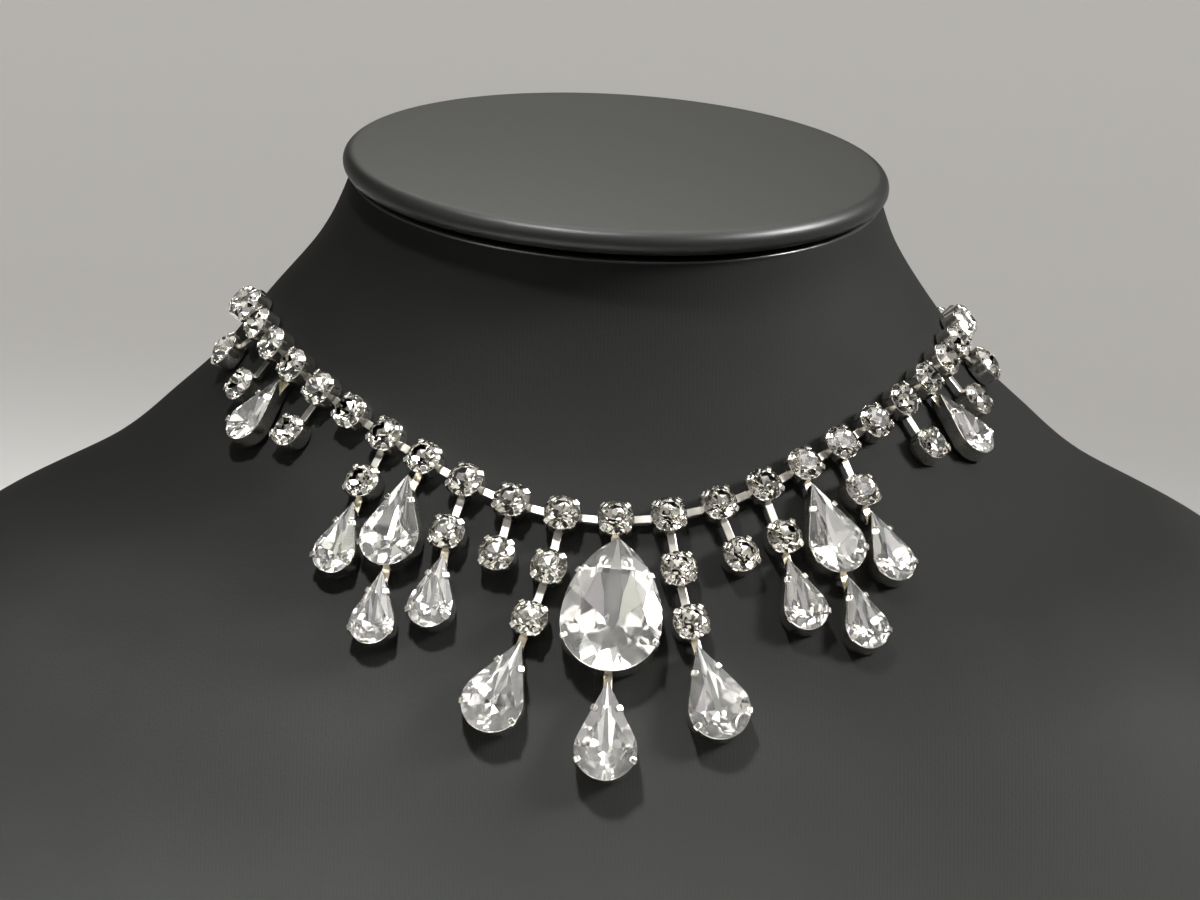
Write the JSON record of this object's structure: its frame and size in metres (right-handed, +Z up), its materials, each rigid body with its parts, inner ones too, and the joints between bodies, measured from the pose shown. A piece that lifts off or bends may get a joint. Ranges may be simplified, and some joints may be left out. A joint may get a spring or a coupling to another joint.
{
  "type": "rhinestone necklace on a neck bust",
  "caption": "Bib necklace of round and pear cut stones in claw settings on flat links, laid round a leatherette neck bust with a padded oval cap.",
  "frame": {"origin": "bottom centre of the whole object, on the floor under the bust", "axes": "+X to the right as seen from the front, +Y to the back, +Z up"},
  "size_m": [0.3357, 0.2059, 0.1864],
  "materials": {
    "leatherette": "semi-matte black leatherette",
    "padded_cap": "satin black leatherette over padding",
    "metal": "bright rhodium plate",
    "stone": "clear cut glass, foiled at the back"
  },
  "bodies": {
    "root": {"bust_body": "leatherette", "bust_cap": "padded_cap", "chain_settings": "metal", "chain_stones": "stone", "clasp": "metal", "drops_left_settings": "metal", "drops_left_stones": "stone", "drops_right_settings": "metal", "drops_right_stones": "stone", "centre_links": "metal", "setting_centre_big": "metal", "stone_centre_big": "stone", "setting_centre_tail": "metal", "stone_centre_tail": "stone", "setting_left_1": "metal", "stone_left_1": "stone", "setting_right_1": "metal", "stone_right_1": "stone", "setting_left_3": "metal", "stone_left_3": "stone", "setting_right_3": "metal", "stone_right_3": "stone", "setting_left_4_upper": "metal", "stone_left_4_upper": "stone", "setting_right_4_upper": "metal", "stone_right_4_upper": "stone", "setting_left_4_lower": "metal", "stone_left_4_lower": "stone", "setting_right_4_lower": "metal", "stone_right_4_lower": "stone", "setting_left_5": "metal", "stone_left_5": "stone", "setting_right_5": "metal", "stone_right_5": "stone", "setting_left_8": "metal", "stone_left_8": "stone", "setting_right_8": "metal", "stone_right_8": "stone"}
  },
  "joints": []
}
